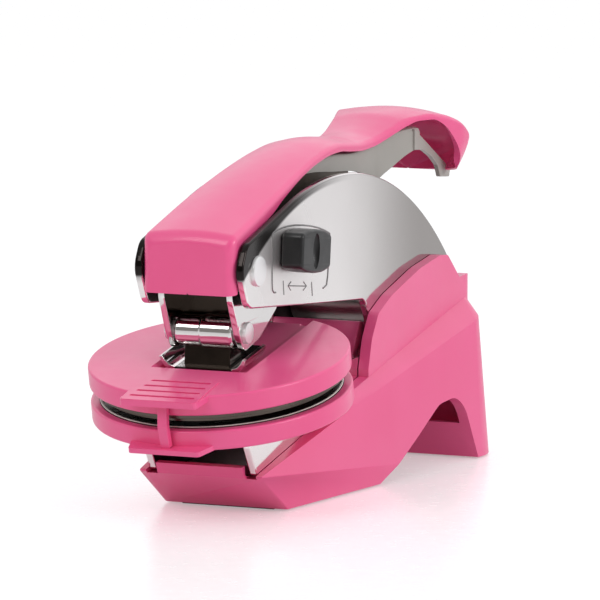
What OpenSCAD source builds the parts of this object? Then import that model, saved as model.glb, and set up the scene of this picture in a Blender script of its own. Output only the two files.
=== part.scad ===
// Desk seal press (embossing press) with a removable round die clip.
// Origin: on the table, in the middle of the footprint.  +Z up, die end towards -Y,
// lock knob on the +X side.  All sizes in millimetres.

/* [Die clip] */
// Diameter of the two round die holders
clip_dia = 57; // [54:0.5:58]
// Thickness of the upper die holder's rim
upper_rim_h = 4.5; // [4:0.1:5]
// Thickness of the lower die holder's rim
lower_rim_h = 4.4; // [4:0.1:5]
// Height of the closed clip, from its top face to its bottom face
clip_h = 12.3; // [12:0.1:12.6]
// Gap between the two metal dies while the clip is open
die_gap = 2.2; // [2.1:0.1:2.4]

/* [Press] */
// Lean of the die clip and its slot, nose down
tilt = 11; // [10:0.5:12]
// Angle the handle turns through, from open to pressed
press_angle = 10; // [9:0.5:10]
// Distance the ram and the upper die travel
press_travel = 2.0; // [1.8:0.1:2.1]
// Distance the lock knob slides
lock_travel = 5; // [3:0.5:5]

/* [Frame] */
// Thickness of each chromed frame plate
plate_t = 2.3; // [2:0.1:2.4]
// Clear width between the two frame plates
frame_gap = 21; // [20.8:0.1:21.2]

/* [Handle] */
// Wall thickness of the pink handle cover
cover_t = 1.6; // [1.4:0.1:1.8]
// Half width of the cover at its waist
waist_w = 7.1; // [7:0.1:7.3]
// Half width of the cover at the palm
palm_w = 15.1; // [14.5:0.1:15.5]

/* [Hidden] */

// Colours
pink = [0.95, 0.42, 0.62];
chrome = [0.82, 0.82, 0.83];
steel = [0.55, 0.54, 0.52];
grey_liner = [0.66, 0.65, 0.64];
black = [0.10, 0.10, 0.11];
die_metal = [0.30, 0.28, 0.25];
rubber = [0.15, 0.15, 0.16];

// Frame widths
plate_in = frame_gap / 2;
plate_out = plate_in + plate_t;
fit = 0.02;          // gap of a fixed fit
run = 0.06;          // gap of a running fit

// Main axes in the side view, as [y, z]
clip_top = [-39, 34];
fulcrum = [-47.2, 53.6];
ram_axis = [-44.2, 39.7];
lock_mid = [-27.3, 56.9];
lock_slope = -6;
spring_anchor = [-24, 47];
drive_arm = press_travel / (2 * sin(press_angle / 2));
drive_lead = tilt + press_angle / 2;
drive = [fulcrum[0] + drive_arm * cos(drive_lead), fulcrum[1] + drive_arm * sin(drive_lead)];

// Pins
fulcrum_r = 2.5;
pin_r = 2;
rivet_r = 2;

// Levels in the clip, along its own axis, below the top face
clip_r = clip_dia / 2;
upper_bottom = -upper_rim_h;
lower_top = -clip_h + lower_rim_h;
lower_die_top = lower_top - 0.9;
upper_die_bottom = lower_die_top + die_gap;
die_r = 25.6;
pocket_top = -2.9;
channel_w = 10.6;
channel_floor = -1.9;

// Base
base_z0 = 0.4;
ledge_slope = 10.65;
floor_top = 3;
screw_y = [-24, -15];
pad_y = [-32, -8];
rear_pad_y = 57.5;

// ---------- helpers ----------

function unit(v) = v / norm(v);
// Outline with each corner [y, z, radius] rounded by a true arc
function corner(a, b, c) =
    let (u = unit([a[0] - b[0], a[1] - b[1]]), w = unit([c[0] - b[0], c[1] - b[1]]),
         half = acos(max(-1, min(1, u * w))) / 2,
         r = b[2],
         centre = [b[0], b[1]] + unit(u + w) * r / sin(half),
         p = [b[0], b[1]] + u * r / tan(half),
         q = [b[0], b[1]] + w * r / tan(half),
         a0 = atan2(p[1] - centre[1], p[0] - centre[0]),
         a1 = atan2(q[1] - centre[1], q[0] - centre[0]),
         turn = a1 - a0 > 180 ? a1 - a0 - 360 : (a1 - a0 < -180 ? a1 - a0 + 360 : a1 - a0),
         steps = max(1, round(abs(turn) / 9)))
    [for (i = [0 : steps]) centre + r * [cos(a0 + turn * i / steps), sin(a0 + turn * i / steps)]];
function rounded(p) =
    let (n = len(p))
    [for (i = [0 : n - 1])
        let (b = p[i])
        each (b[2] > 0 ? corner(p[(i + n - 1) % n], b, p[(i + 1) % n]) : [[b[0], b[1]]])];
function arc(c, r, a0, a1, steps) =
    [for (i = [0 : steps]) let (a = a0 + (a1 - a0) * i / steps) [c[0] + r * cos(a), c[1] + r * sin(a), 0]];

// A side-view outline given thickness across the press, from x0 to x1
module across(x0, x1) {
    translate([x0, 0, 0]) rotate([90, 0, 90]) linear_extrude(x1 - x0) children();
}
// The same on both sides of the press
module both_sides() {
    children();
    mirror([1, 0, 0]) children();
}
// The side-view point at v along the clip and n out of its top face
function clip_point(v, n) =
    [clip_top[0] + v * cos(tilt) - n * sin(tilt), clip_top[1] + v * sin(tilt) + n * cos(tilt)];
// A round bar along X through a side-view point
module bar(at, r, x0, x1) {
    translate([x0, at[0], at[1]]) rotate([0, 90, 0]) cylinder(r = r, h = x1 - x0, $fn = 48);
}
// The leaning frame of the die clip: x across, y towards the rear, z out of its top face
module on_clip() {
    translate([0, clip_top[0], clip_top[1]]) rotate([tilt, 0, 0]) children();
}
// Takes a shape drawn where it is with the handle pressed, and turns it back to the open handle
module from_pressed() {
    translate([0, fulcrum[0], fulcrum[1]]) rotate([press_angle, 0, 0])
        translate([0, -fulcrum[0], -fulcrum[1]]) children();
}
// Cap-shaped shell swept along the handle.
// Each station is [y, half width, z of the edge, z of the rim, crown height].
function cap_ring(s, t, n) =
    let (y = s[0], w = s[1], ze = s[2], zr = min(s[3], ze - t - 0.3), crown = s[4])
    concat([[-w, y, zr]],
           [for (i = [0 : n]) let (k = -1 + 2 * i / n) [w * k, y, ze + crown * (1 - k * k)]],
           [[w, y, zr], [w - t, y, zr]],
           [for (i = [0 : n]) let (k = 1 - 2 * i / n) [(w - t) * k, y, ze - t + crown * (1 - k * k)]],
           [[-(w - t), y, zr]]);
module cap_loft(stations, t, n = 8) {
    rings = [for (s = stations) cap_ring(s, t, n)];
    m = len(rings[0]);
    k = len(rings);
    half = m / 2;
    points = [for (r = rings) each r];
    sides = [for (i = [0 : k - 2]) for (j = [0 : m - 1])
        let (a = i * m + j, b = i * m + (j + 1) % m)
        each [[a, b + m, b], [a, a + m, b + m]]];
    // each end is a strip between the outer and the inner line
    front = [for (j = [0 : half - 2])
        each [[j, m - 2 - j, m - 1 - j], [j, j + 1, m - 2 - j]]];
    last = (k - 1) * m;
    back = [for (j = [0 : half - 2])
        each [[last + j, last + m - 1 - j, last + m - 2 - j], [last + j, last + m - 2 - j, last + j + 1]]];
    polyhedron(points, concat(sides, front, back));
}
// Round wire swept along a list of points
module wire(path, r, sides = 8) {
    n = len(path);
    function along(i) = unit(path[min(i + 1, n - 1)] - path[max(i - 1, 0)]);
    function ring(i) =
        let (d = along(i), a = unit(cross(d, abs(d[0]) > 0.9 ? [0, 0, 1] : [1, 0, 0])), b = cross(d, a))
        [for (k = [0 : sides - 1]) path[i] + r * (cos(k * 360 / sides) * a + sin(k * 360 / sides) * b)];
    points = [for (i = [0 : n - 1]) each ring(i)];
    skin = [for (i = [0 : n - 2]) for (k = [0 : sides - 1])
        let (a = i * sides + k, b = i * sides + (k + 1) % sides)
        each [[a, a + sides, b + sides], [a, b + sides, b]]];
    polyhedron(points, concat(skin, [[for (k = [0 : sides - 1]) k]],
        [[for (k = [sides - 1 : -1 : 0]) (n - 1) * sides + k]]));
}

// ---------- base ----------

base_plan = rounded([[-14.6, -35.6, 1], [14.6, -35.6, 1], [26.4, 66.8, 13], [-26.4, 66.8, 13]]);
base_cavity_plan = rounded([[-12.4, -32.6, 1], [12.4, -32.6, 1], [23.9, 64.2, 11], [-23.9, 64.2, 11]]);
arch_outline = rounded([[2.2, -1, 0], [35.5, 14.4, 9], [47, 15.4, 6.5], [50.8, -1, 0]]);
cheek_outline = rounded([[8, 18, 0], [7.6, 25.6, 1], [9.6, 32.2, 4], [13.4, 37.5, 3], [21.1, 40.7, 10],
    [37.5, 44.9, 20], [49.4, 46.6, 4], [54.2, 46.2, 2.5], [61.3, 40.3, 1], [67.4, 40.6, 2.5],
    [70.4, 37.8, 3], [69.6, 22, 0]]);

plate_slot = [[-36.7, floor_top], [-43.4, 8.6], [-48, 9.2], [-48, 60], [68.1, 60], [68.1, 36], [65, 28],
    [63.8, floor_top]];
leg_wall = [[48.64, 8.3], [50.64, 8.3], [52.48, 0.4], [50.48, 0.4]];

// Slab through the ledge where flank and shoulder meet
module ledge_slab(w0, w1, back, r) {
    translate([0, -9, 17.8]) rotate([ledge_slope, 0, 0]) linear_extrude(0.1)
        polygon(rounded([[-w0, 0, 0], [w0, 0, 0], [w1, back, r], [-w1, back, r]]));
}
module shoulder_slab() {
    translate([0, -33, 15.6]) rotate([11.3, 0, 0]) linear_extrude(0.1)
        polygon(rounded([[-13.6, 0, 0], [13.6, 0, 0], [15.4, 34, 0], [15.4, 103.5, 5], [-15.4, 103.5, 5],
            [-15.4, 34, 0]]));
}
module base_form() {
    hull() {
        translate([0, 0, base_z0]) linear_extrude(0.1) polygon(base_plan);
        ledge_slab(16.8, 20.8, 77.5, 8);
        translate([-14.4, -48.6, 9]) cube([28.8, 0.2, 0.4]);
    }
    hull() {
        ledge_slab(16.8, 20.8, 77.5, 8);
        shoulder_slab();
    }
    intersection() {
        across(-15.4, 15.4) polygon(cheek_outline);
        translate([0, 0, 10]) linear_extrude(50)
            polygon(rounded([[-15.4, 0, 0], [15.4, 0, 0], [15.4, 70.4, 5], [-15.4, 70.4, 5]]));
    }
}
// Lip across the front of the chin, between the two lower jaws
chin_lip = [[-48.7, 8.8], [-49.7, 11.2], [-47.9, 11.5], [-46.8, 8.8]];
module base_shell() {
    color(pink) difference() {
        union() {
            difference() {
                union() {
                    base_form();
                    across(-10.2, 10.2) polygon(chin_lip);
                }
                // room for the frame plates between the cheeks
                across(-plate_out - 0.15, plate_out + 0.15) polygon(plate_slot);
                // hollow flanks
                hull() {
                    translate([0, 0, -1]) linear_extrude(0.1) polygon(base_cavity_plan);
                    translate([0, 0, -2.6]) ledge_slab(14.8, 18.6, 74.5, 6);
                }
                // arch between the front block and the rear leg
                across(-40, 40) polygon(arch_outline);
            }
            intersection() {
                base_form();
                union() {
                    translate([-30, -40, base_z0]) cube([60, 41, floor_top - base_z0]);
                    translate([-30, 50.5, base_z0]) cube([60, 30, floor_top - base_z0]);
                    across(-30, 30) polygon(leg_wall);
                }
            }
        }
        // notches in the chin for the lower jaws
        both_sides() translate([plate_in - 0.2, -60, 8.6]) cube([plate_t + 0.4, 20, 20]);
        // chin is open between the jaws behind its lip
        translate([-plate_in + 1, -46.8, 10.4]) cube([2 * plate_in - 2, 6.8, 20]);
        for (y = screw_y) {
            translate([0, y, -1]) cylinder(r = 1.7, h = 5, $fn = 32);
            translate([0, y, -1]) cylinder(r = 3.2, h = 2.9, $fn = 32);
        }
        for (y = pad_y) translate([-11.1, y - 2.6, -1]) cube([22.2, 5.2, 2.2]);
        translate([-16.1, rear_pad_y - 3.6, -1]) cube([32.2, 7.2, 2.2]);
    }
}
module front_foot_pads() {
    color(rubber) for (y = pad_y)
        translate([-11, y - 2.5, 0]) cube([22, 5, 1.2]);
}
module rear_foot_pad() {
    color(rubber) translate([-16, rear_pad_y - 3.5, 0]) cube([32, 7, 1.2]);
}
module base_screws() {
    color(steel) for (y = screw_y) difference() {
        union() {
            translate([0, y, 0.6]) cylinder(r = 2.9, h = 1.3, $fn = 32);
            translate([0, y, 1.9]) cylinder(r = 1.5, h = 5.6, $fn = 32);
        }
        translate([-2.2, y - 0.35, 0.5]) cube([4.4, 0.7, 0.7]);
    }
}
module tie_block() {
    color(steel) difference() {
        translate([-plate_in, -33, floor_top + 0.05]) cube([2 * plate_in, 28, 6]);
        for (y = screw_y) translate([0, y, 2]) cylinder(r = 1.5 + fit, h = 6, $fn = 32);
        for (p = tie_rivets) bar(p, rivet_r + fit, -20, 20);
    }
}

// ---------- frame ----------

clip_bottom = -clip_h - 0.1;
jaw_tip = clip_point(-15.1, clip_bottom);
jaw_root = clip_point(33, clip_bottom);
plate_outline = rounded(concat(
    // lower jaw, throat and upper jaw
    [[jaw_tip[0], jaw_tip[1], 0.5], [jaw_root[0], jaw_root[1], 1], [3, 28.0, 4], [13.4, 28.6, 6],
        [15.4, 35, 3], [11.6, 40.7, 3.5], [-51.3, 45.9, 3]],
    // nose around the fulcrum
    [[-55.4, 54.2, 5], [-52.4, 59.6, 4]],
    // arched back
    arc([-2.3, -22.5], 92.5, 106.5, 41.5, 30),
    // heel and lower edge, inside the base
    [[66, 33, 3], [60, 27.5, 4], [36, 21, 4], [6, 7.5, 3], [-3, 3.2, 2], [-36.4, 3.2, 1], [-43, 8.9, 0.2],
        [-47.4, 9.4, 1], [-51.2, 15.8, 2]]));
// Rivets through both plates, as side-view points
anvil_rivets = [clip_point(3, -15), clip_point(14, -15)];
spacer_points = [[27, 37.5], [49.8, 42], [34, 26.5]];
catch_rivet = [13.8, 23.8];
tie_rivets = [[-29, 6.2], [-8, 6.2]];
rivet_points = concat(tie_rivets, anvil_rivets, spacer_points, [catch_rivet]);

module frame_plate() {
    difference() {
        across(plate_in, plate_out) polygon(plate_outline);
        bar(fulcrum, fulcrum_r + fit, 0, 20);
        bar(spring_anchor, 1.5 + fit, 0, plate_in + 1.2);
        for (p = rivet_points) bar(p, rivet_r + fit, 0, 20);
    }
}
module frame_plate_left() {
    color(chrome) mirror([1, 0, 0]) frame_plate();
}
module frame_plate_right() {
    color(chrome) difference() {
        frame_plate();
        on_lock() translate([0, -2.1, -2.1]) cube([20, 4.2 + lock_travel, 4.2]);
    }
}
module frame_spacers() {
    color(steel) for (p = spacer_points) difference() {
        bar(p, 4, -plate_in, plate_in);
        bar(p, rivet_r + fit, -20, 20);
    }
}
module frame_rivets() {
    color(chrome) for (p = rivet_points) bar(p, rivet_r, -plate_out, plate_out);
}
module anvil_plate() {
    color(steel) difference() {
        on_clip() translate([-plate_in, -4, -17.5]) cube([2 * plate_in, 22, 5.1]);
        for (p = anvil_rivets) bar(p, rivet_r + fit, -20, 20);
    }
}
module clip_catch() {
    color(pink) difference() {
        across(-plate_in, plate_in)
            polygon(rounded([[9.6, 27.4, 0.5], [14.3, 35.6, 0.8], [16.6, 34.4, 0.8], [17.4, 20.6, 1],
                [10.4, 20.6, 1]]));
        bar(catch_rivet, rivet_r + fit, -20, 20);
    }
}
module spring_anchor_pin() {
    color(steel) bar(spring_anchor, 1.5, -plate_in - 1.1, plate_in + 1.1);
}
module fulcrum_pin() {
    color(chrome) {
        bar(fulcrum, fulcrum_r, -plate_out, plate_out);
        both_sides() bar(fulcrum, 3.3, plate_out, plate_out + 0.8);
    }
}
module fulcrum_washers() {
    color(steel) both_sides() difference() {
        bar(fulcrum, 4.6, 8.95, plate_in - 0.05);
        bar(fulcrum, fulcrum_r + fit, 0, 20);
    }
}

// ---------- lever and handle ----------

lever_outline = rounded([[-52.3, 54, 5], [-50.6, 59.4, 3], [-39, 61.8, 0], [-4, 70, 10], [21, 71.2, 1],
    [21, 67.4, 1], [-4, 63.6, 0], [-19.5, 60.6, 6], [-31, 54.6, 0], [-47.2, 48.4, 4.5]]);
lever_web = [[-46, 60], [-39, 61.5], [-4, 69.7], [20.7, 70.9], [20.7, 69.3], [-4, 68.1], [-39, 60],
    [-46, 58.5]];
hook_outline = [[-7.4, 58.2], [-7.4, 49.6], [-13.2, 49.6], [-13.2, 50.9], [-9.3, 50.9], [-9.3, 58.2]];
// Cover screws: [y, z under the lever's web, z of the cover's boss]
cover_screw_seats = [[-12, 66.5, 70.8], [12, 69.2, 73.3]];
lever_in = 3.7;
lever_out = 4.8;

module lever_arm() {
    color(die_metal) difference() {
        union() {
            both_sides() across(lever_in, lever_out) polygon(lever_outline);
            both_sides() from_pressed() across(lever_in + 0.1, lever_out - 0.1) polygon(hook_outline);
            across(-lever_in - 0.5, lever_in + 0.5) polygon(lever_web);
        }
        bar(fulcrum, fulcrum_r + run, -20, 20);
        bar(drive, pin_r + fit, -20, 20);
        for (p = cover_screw_seats) translate([0, p[0], 60]) {
            cylinder(r = 1.3 + fit, h = 20, $fn = 32);
            // spot face for the screw's head
            cylinder(r = 2.6, h = p[1] - 60, $fn = 32);
        }
    }
}
module drive_pin() {
    color(steel) bar(drive, pin_r, -8.8, 8.8);
}

// Grey liner: skirts under the cover, with an arch between two feet at the rear
liner_w = 5.9;
liner_rear_w = 9.6;
liner_t = 1;
liner_stations = [[-23, liner_w, 68.3, 66.8, 0], [-4.7, liner_w, 72.1, 70.2, 0],
    [9.8, liner_w, 73.2, 69.2, 0], [21.5, liner_w, 72.8, 68.2, 0],
    [29, liner_w - 0.5, 72.7, 67.0, 0], [36, liner_w + 0.1, 73.5, 66.1, 0],
    [41.6, liner_w + 1, 74.9, 65.4, 0], [45.5, liner_w + 1.9, 75.6, 65.3, 0],
    [51, liner_rear_w, 76.2, 65.2, 0]];
liner_tail = [[50.9, 65.2], [50.9, 76.1], [69.4, 63.8], [69.6, 62.6], [61.6, 63.4]];
liner_arch = rounded([[42.2, 60, 0], [42.9, 68.4, 2], [46, 71.3, 4], [52, 71.4, 6], [60, 67, 3],
    [61.6, 60, 0]]);
module grip_liner() {
    color(grey_liner) difference() {
        union() {
            cap_loft(liner_stations, liner_t, 2);
            both_sides() across(liner_rear_w - liner_t, liner_rear_w) polygon(liner_tail);
        }
        across(-20, 20) polygon(liner_arch);
        for (p = cover_screw_seats) translate([0, p[0], 60]) cylinder(r = 1.3 + fit, h = 20, $fn = 32);
    }
}

// Pink cover: nose, straight neck, waist and palm hood
cover_stations = [
    [-54.9, 10.3, 61.5, 59.5, 0.7], [-44, 10.2, 64.5, 61.1, 1.0], [-34, 10.1, 67.4, 64.2, 1.2],
    [-24, 9.8, 70.1, 67.9, 1.2], [-14, 9.2, 72.5, 70.8, 1.2], [-4, 8.6, 74.5, 72.8, 1.1],
    [6, 8.1, 75.7, 73.8, 1.0], [16, 7.5, 75.3, 73.2, 1.0], [29, waist_w, 74.8, 72.9, 1.0],
    [35, 7.6, 75.7, 73.9, 1.0], [40, 8.4, 76.9, 75.2, 1.0], [45, 9.3, 78.2, 76.5, 1.0],
    [49, 10.5, 78.8, 77.3, 1.0], [53, 11.9, 78.9, 77.0, 1.1], [57, 13.3, 78.4, 75.8, 1.2],
    [61, palm_w - 0.7, 77.3, 72.4, 1.5], [65, palm_w, 75.7, 68.0, 1.9], [68, palm_w, 73.9, 65.8, 2.2],
    [69.6, palm_w - 0.3, 72.7, 65.4, 2.3]];
module cover_wall(s, t) {
    ring = cap_ring(s, t, 8);
    translate([0, s[0] + t, 0]) rotate([90, 0, 0]) linear_extrude(t)
        polygon([for (i = [0 : 10]) [ring[i][0], ring[i][2]]]);
}
module handle_cover() {
    color(pink) difference() {
        union() {
            cap_loft(cover_stations, cover_t);
            cover_wall([-55.0, 10.3, 61.6, 48.7, 0.7], cover_t);
            cover_wall([69.4, palm_w - 0.4, 72.6, 65.4, 2.3], 1.6);
            for (p = cover_screw_seats) translate([0, p[0], p[2]]) cylinder(r = 2.6, h = 1.9, $fn = 32);
        }
        for (p = cover_screw_seats) translate([0, p[0], 60]) cylinder(r = 1.3, h = p[1] + 5.8 - 60, $fn = 32);
    }
}
module cover_screws() {
    color(steel) for (p = cover_screw_seats) translate([0, p[0], p[1] - 1.3]) {
        cylinder(r = 2.4, h = 1.2, $fn = 32);
        translate([0, 0, 1]) cylinder(r = 1.3 - fit, h = 5.9, $fn = 32);
    }
}

// Torsion spring on the fulcrum pin: coil, and two legs that spread towards the rear
coil_r = 3.6;
coil_wire = 0.45;
coil_turns = 4.5;
coil_step = 1.2;
coil_x0 = -coil_turns * coil_step / 2;
coil_points = 14;    // points in each turn
spring_path = concat(
    [[coil_x0, -23, 49.05], [coil_x0, -34, 49.3], [coil_x0, -43, 49.9]],
    [for (i = [0 : coil_points * coil_turns])
        let (a = -90 - i * 360 / coil_points, k = i / (coil_points * coil_turns))
        [coil_x0 + coil_turns * coil_step * k, fulcrum[0] + coil_r * cos(a), fulcrum[1] + coil_r * sin(a)]],
    [[-coil_x0, -44.4, 57.6], [-coil_x0, -41.4, 58.9], [-coil_x0, -38.4, 59.5],
        [-coil_x0, -33.5, 60.6]]);
module return_spring() {
    color(steel) wire(spring_path, coil_wire);
}

// ---------- ram ----------

yoke_in = 7.3;
yoke_out = 8.8;
yoke_outline = rounded([[-47.8, 39.6, 2], [-51.4, 47.5, 3], [-51.6, 53, 3], [-50, 58.4, 3],
    [-40, 60.1, 6], [-31.2, 59.8, 3], [-27.6, 50, 4], [-27.6, 43.3, 1.5], [-37.2, 37.5, 3], [-45, 35.6, 2]]);
module ram_yoke() {
    color(chrome) difference() {
        union() {
            both_sides() across(yoke_in, yoke_out) polygon(yoke_outline);
            // cross web that joins the two cheeks
            across(-yoke_in, yoke_in) polygon([[-42.2, 43.8], [-42.9, 47.2], [-41.7, 47.4], [-41, 44]]);
        }
        // slot that rides on the fulcrum pin, along the ram's travel
        on_fulcrum() translate([-20, -fulcrum_r - 0.1, -fulcrum_r - 0.2])
            cube([40, 2 * fulcrum_r + 0.2, 2 * fulcrum_r + press_travel + 0.4]);
        bar(drive, pin_r + 0.1, -20, 20);
        bar(ram_axis, pin_r + fit, -20, 20);
    }
}
module on_fulcrum() {
    translate([0, fulcrum[0], fulcrum[1]]) rotate([tilt, 0, 0]) children();
}
module ram_pin() {
    color(chrome) {
        bar(ram_axis, pin_r, -yoke_out, yoke_out);
        both_sides() bar(ram_axis, 2.35, yoke_out, yoke_out + 0.9);
    }
}
knuckle_r = 3.4;
foot_top = -0.3;
foot_bottom = -1.5;
module ram_foot() {
    color(chrome) difference() {
        union() {
            bar(ram_axis, knuckle_r, -6.8, 6.8);
            on_clip() {
                // sole plate in the clip's channel
                translate([-6.6, -9, foot_bottom]) cube([13.2, 17, foot_top - foot_bottom]);
                // neck up to the knuckle
                across(-6, 6) polygon([[-8.2, foot_top], [-6.6, 4.5], [-1.6, 4.5], [2, foot_top]]);
                // wings that turn up at each side
                both_sides() rotate([90, 0, 0]) translate([0, 0, -3]) linear_extrude(11.6)
                    polygon([[6.5, foot_bottom], [8.6, foot_bottom + 0.5], [10.1, foot_bottom + 2],
                        [10.1, foot_bottom + 3.2], [8.2, foot_bottom + 1.8], [6.5, foot_top]]);
            }
        }
        bar(ram_axis, pin_r + run, -20, 20);
    }
}

// ---------- lock ----------

module on_lock() {
    translate([0, lock_mid[0], lock_mid[1]]) rotate([lock_slope, 0, 0]) children();
}
module lock_knob() {
    color(black) difference() {
        on_lock() across(plate_out + 0.1, plate_out + 5.4)
            polygon(rounded([[-7.8, -4.3, 1.8], [0, -4.75, 0], [7.8, -4.3, 1.8], [7.8, 4.3, 1.8],
                [0, 4.75, 0], [-7.8, 4.3, 1.8]]));
        // thumb groove, deepest in the middle of the knob
        on_lock() translate([plate_out + 9.6, 1.6, -6]) cylinder(r = 4.8, h = 12, $fn = 48);
    }
}
module lock_slider() {
    color(steel) on_lock() {
        translate([9.1, -4, -3.8]) cube([1.25, 16.5, 6.6]);
        translate([9.1, -2, -2]) cube([plate_out + 0.1 - 9.1, 4, 4]);
        translate([3.6, 10, -3.8]) cube([6, 2.4, 2.2]);
    }
}

// ---------- die clip ----------

module rim_disc(r, z0, z1) {
    translate([0, 0, z0]) rotate_extrude($fn = 96)
        polygon([[0, 0], [r - 0.4, 0], [r, 0.4], [r, z1 - z0 - 0.5], [r - 0.5, z1 - z0], [0, z1 - z0]]);
}
module tab(w0, w1, v0, v1, z0, z1) {
    translate([0, 0, z0]) linear_extrude(z1 - z0)
        polygon([[-w0, v0], [w0, v0], [w1, v1], [w1, v1 + 4], [-w1, v1 + 4], [-w1, v1]]);
}
module upper_die_holder() {
    color(pink) on_clip() difference() {
        union() {
            rim_disc(clip_r, upper_bottom, 0);
            tab(7.2, 9, -32.6, -26, -1.3, 0);
            translate([-7, 20, upper_bottom]) cube([14, 8.6, 2.6]);
        }
        // channel for the ram foot, open to the rear
        translate([-channel_w, -10.2, channel_floor]) cube([2 * channel_w, 50, 5]);
        // pocket for the die
        translate([0, 0, upper_bottom - 1])
            cylinder(r = die_r + 0.1, h = pocket_top - upper_bottom + 1, $fn = 96);
    }
}
module upper_die() {
    color(die_metal) on_clip() translate([0, 0, upper_die_bottom])
        cylinder(r = die_r, h = pocket_top - upper_die_bottom, $fn = 96);
}
module lower_die_holder() {
    color(pink) on_clip() difference() {
        union() {
            rim_disc(clip_r, -clip_h, lower_top);
            tab(8.2, 9.8, -31.6, -26, -clip_h, -clip_h + 1.1);
            translate([-7, 20, -clip_h]) cube([14, 8.6, lower_rim_h]);
            // keel that runs between the two lower jaws
            translate([-10.2, -20, -clip_h - 1]) cube([20.4, 15, 1.2]);
        }
        translate([0, 0, lower_top - 2.7]) cylinder(r = die_r + 0.6, h = 10, $fn = 96);
    }
}
module lower_die() {
    color(die_metal) on_clip() translate([0, 0, lower_top - 2.7])
        cylinder(r = die_r + 0.4, h = lower_die_top - lower_top + 2.7, $fn = 96);
}
module front_strap() {
    color(pink) on_clip() across(-1.1, 1.1)
        polygon([[-30.2, -1.3], [-28.8, -1.3], [-29.6, -6.2], [-28.8, -clip_h + 1.1], [-30.4, -clip_h + 1.1],
            [-31.2, -6.4]]);
}
module rear_hinge_strap() {
    color(pink) on_clip() across(-7, 7)
        polygon([[28.6, -2.6], [31.4, -3.6], [32.4, -6.2], [31.4, -9], [28.6, -10.2], [28.6, -9.2],
            [30.6, -8.4], [31.3, -6.2], [30.6, -4.3], [28.6, -3.6]]);
}

base_shell();
front_foot_pads();
rear_foot_pad();
base_screws();
tie_block();
frame_plate_left();
frame_plate_right();
frame_spacers();
frame_rivets();
anvil_plate();
clip_catch();
spring_anchor_pin();
fulcrum_pin();
fulcrum_washers();
lever_arm();
grip_liner();
handle_cover();
cover_screws();
drive_pin();
return_spring();
ram_yoke();
ram_pin();
ram_foot();
lock_knob();
lock_slider();
lower_die_holder();
lower_die();
front_strap();
rear_hinge_strap();
upper_die_holder();
upper_die();
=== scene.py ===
"""Looks for the desk seal embosser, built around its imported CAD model.

Side-view shapes are lists of (y, z) in millimetres in the part's own frame; clip shapes are in the
die clip's leaning frame: x across, v towards the rear, n out of the clip's top face. A third number
in a point of an outline is the radius of that corner.
"""
import math

import bmesh
import bpy
from mathutils import Matrix, Vector


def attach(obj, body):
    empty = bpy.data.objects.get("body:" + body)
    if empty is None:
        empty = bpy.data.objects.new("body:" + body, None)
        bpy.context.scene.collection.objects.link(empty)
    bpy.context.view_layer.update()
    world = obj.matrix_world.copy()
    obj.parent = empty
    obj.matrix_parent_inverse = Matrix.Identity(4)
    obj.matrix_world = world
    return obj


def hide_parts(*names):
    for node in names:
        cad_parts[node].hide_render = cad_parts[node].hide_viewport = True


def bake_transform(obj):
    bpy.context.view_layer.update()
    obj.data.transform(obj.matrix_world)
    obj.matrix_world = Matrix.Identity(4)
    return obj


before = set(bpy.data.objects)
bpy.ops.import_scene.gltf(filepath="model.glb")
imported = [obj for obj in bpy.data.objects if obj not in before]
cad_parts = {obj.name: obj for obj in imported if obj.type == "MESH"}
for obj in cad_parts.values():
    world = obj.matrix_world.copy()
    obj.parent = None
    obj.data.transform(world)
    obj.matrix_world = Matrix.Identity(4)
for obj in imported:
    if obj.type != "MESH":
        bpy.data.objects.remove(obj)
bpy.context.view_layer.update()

MM = 0.001

# Driving places of the press, in mm, as in the CAD source
TILT = math.radians(11)
CLIP_TOP = (-39, 34)
FULCRUM = (-47.2, 53.6)
RAM_AXIS = (-44.2, 39.7)
LOCK_MID = (-27.3, 56.9)
LOCK_SLOPE = math.radians(-6)
SPRING_ANCHOR = (-24, 47)
DRIVE = (-36.17, 56.76)
PLATE_IN, PLATE_OUT = 11.0, 12.8
CROWN_CENTRE, CROWN_R = (-2.3, -22.5), 92.5
YOKE_IN, YOKE_OUT = 7.3, 8.8
CLIP_R = 28.5
CLIP_H = 12.3
RIM_H = 4.5
LOWER_TOP = -7.9
DIE_R = 25.6

# Metres within which doubled points are joined, in drawn meshes and in the CAD's
WELD, CAD_WELD = 1e-6, 2e-6
# Degrees within which the CAD's faces count as flat, and above which its edges are rounded
CAD_FLAT, CAD_EDGE = 0.6, 28


# ---------------------------------------------------------------- helpers


def side_matrix():
    """Maps (y, z, x) of a side-view drawing to the part's x, y, z."""
    return Matrix(((0, 0, 1, 0), (1, 0, 0, 0), (0, 1, 0, 0), (0, 0, 0, 1)))


def bar_matrix(at):
    """Local z along the part's x, through a side-view point."""
    return Matrix.Translation((0, at[0] * MM, at[1] * MM)) @ Matrix.Rotation(math.pi / 2, 4, "Y")


def clip_matrix():
    """Maps (x, v, n) of the die clip's leaning frame to the part's x, y, z."""
    return Matrix.Translation((0, CLIP_TOP[0] * MM, CLIP_TOP[1] * MM)) @ Matrix.Rotation(TILT, 4, "X")


def lock_matrix():
    """Frame of the lock's slide, which slopes down towards the front."""
    return Matrix.Translation((0, LOCK_MID[0] * MM, LOCK_MID[1] * MM)) @ Matrix.Rotation(LOCK_SLOPE, 4, "X")


def clip_point(v, n):
    """Side-view point of a place in the middle of the clip's frame."""
    c, s = math.cos(TILT), math.sin(TILT)
    return (CLIP_TOP[0] + v * c - n * s, CLIP_TOP[1] + v * s + n * c)


def span(side, near, far):
    """Low and high x of a thing between two distances from the middle, on the side -1 or 1."""
    return sorted((side * near, side * far))


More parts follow.
